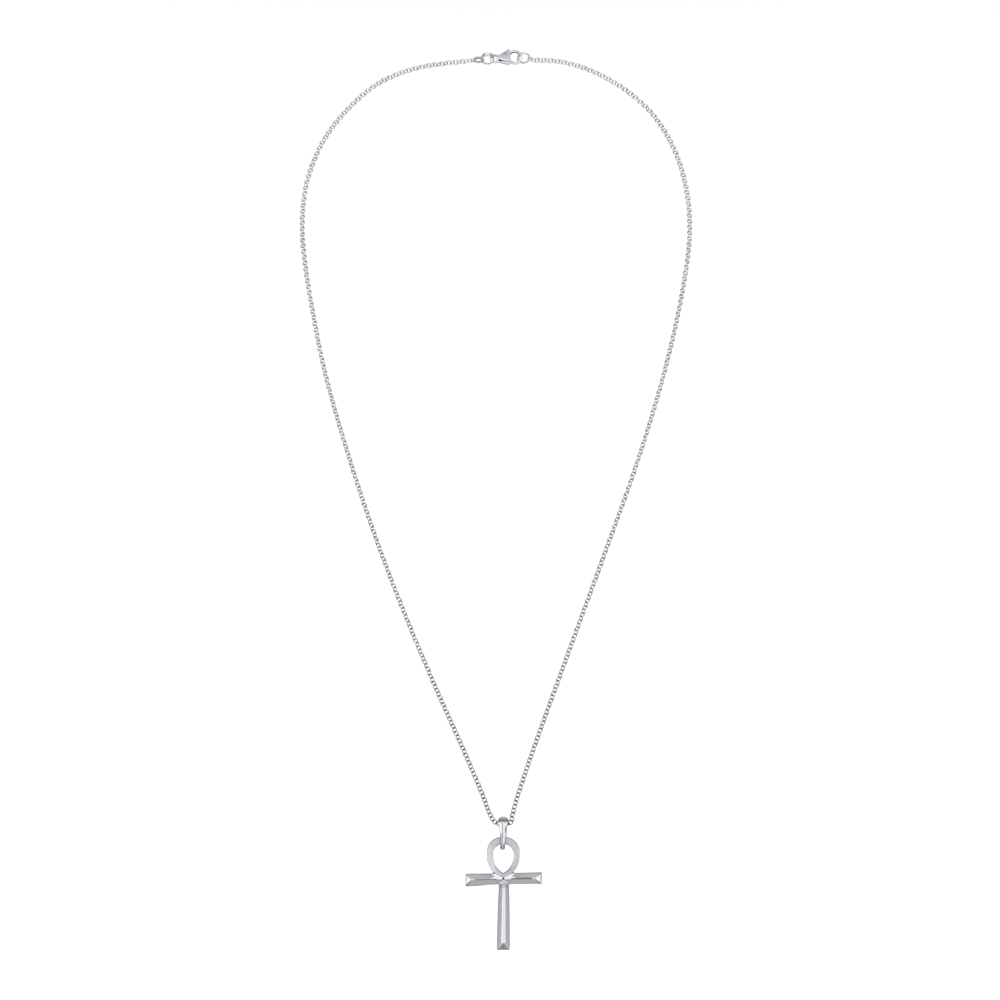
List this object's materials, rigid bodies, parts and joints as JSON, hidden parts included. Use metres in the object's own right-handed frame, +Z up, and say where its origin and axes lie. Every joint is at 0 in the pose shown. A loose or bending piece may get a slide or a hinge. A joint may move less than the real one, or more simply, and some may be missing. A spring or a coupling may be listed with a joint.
{
  "type": "ankh cross pendant necklace",
  "caption": "Looped ankh cross with ridged, tapering arms, hanging from a tapered bail on a fine round-link belcher chain with a lobster clasp, in its worn shape.",
  "frame": {"origin": "the middle of the clasp, where the necklace lies on the nape", "axes": "+Z up, -Y to the front, so that the cross hangs in front of and below the nape; +X to the viewer's right"},
  "size_m": [0.1104, 0.1257, 0.2479],
  "materials": {
    "chain": "tumbled bright silver wire",
    "ring": "polished silver wire",
    "clasp": "polished silver, lightly worn",
    "lever": "polished silver, lightly worn",
    "bail": "polished silver",
    "cross": "satin silver loop, polished ridges"
  },
  "bodies": {
    "necklace": {"chain_left": "chain", "chain_right": "chain", "link_left": "chain", "link_right": "chain", "ring_left": "ring", "ring_eye": "ring", "ring_hook": "ring", "clasp_body": "clasp"},
    "lever": {"clasp_lever": "lever"},
    "bail": {"bail": "bail"},
    "cross": {"ankh": "cross"}
  },
  "joints": [
    {"name": "lever_open", "type": "hinge", "parent": "necklace", "child": "lever", "pos_m": [0.00095, 0, 0.00015], "axis": [0, -1, 0], "range_deg": [0, 20], "stiffness_Nm_per_rad": 0.0005},
    {"name": "bail_swing", "type": "hinge", "parent": "necklace", "child": "bail", "pos_m": [0, -0.122, -0.2129], "axis": [1, 0, 0], "range_deg": [-90, 90]},
    {"name": "cross_swing", "type": "hinge", "parent": "bail", "child": "cross", "pos_m": [0, -0.122, -0.21725], "axis": [1, 0, 0], "range_deg": [-90, 90]}
  ]
}
